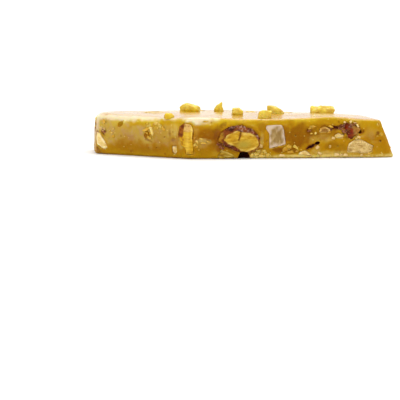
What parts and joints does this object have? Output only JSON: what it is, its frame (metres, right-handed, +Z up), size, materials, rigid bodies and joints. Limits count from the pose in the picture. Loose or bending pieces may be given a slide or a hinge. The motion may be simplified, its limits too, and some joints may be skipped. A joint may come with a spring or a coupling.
{
  "type": "almond toffee",
  "caption": "Broken piece of a poured toffee slab with chopped almonds set in it, flat underneath, with small chips on its smooth top.",
  "frame": {"origin": "middle of the underside's box, on the surface the piece rests on", "axes": "+X along the long broken face, to the right as the picture shows it; +Y away from that face; +Z up out of the poured top"},
  "size_m": [0.0954, 0.0582, 0.0164],
  "materials": {
    "toffee": "amber boiled sugar and butter, satin gloss, slightly clouded",
    "almond": "cut almond flesh, cream, dry and finely streaked",
    "golden_almond": "roasted almond flesh, golden, soaked with toffee",
    "almond_skin": "roasted almond skin, dark red-brown, wrinkled"
  },
  "bodies": {
    "root": {"toffee_slab": "toffee", "kernel_cut": "golden_almond", "upright_piece": "golden_almond", "square_piece": "almond", "dome_piece": "almond", "corner_wedge": "almond", "foot_block": "almond", "foot_wedge": "almond", "arc_piece": "almond", "sliver_piece": "almond", "skin_heap": "almond_skin", "splinter_piece": "almond", "right_half": "almond", "right_bit": "almond", "back_right_kernel": "golden_almond", "back_right_bit": "almond", "back_slice": "almond", "back_block": "almond", "back_half": "golden_almond", "back_left_kernel": "golden_almond", "back_left_bit": "almond", "left_back_half": "almond", "left_back_bit": "almond", "top_flake": "almond", "top_square": "almond", "top_half": "almond", "top_bit": "almond", "underside_half": "almond", "underside_bit": "almond"}
  },
  "joints": []
}
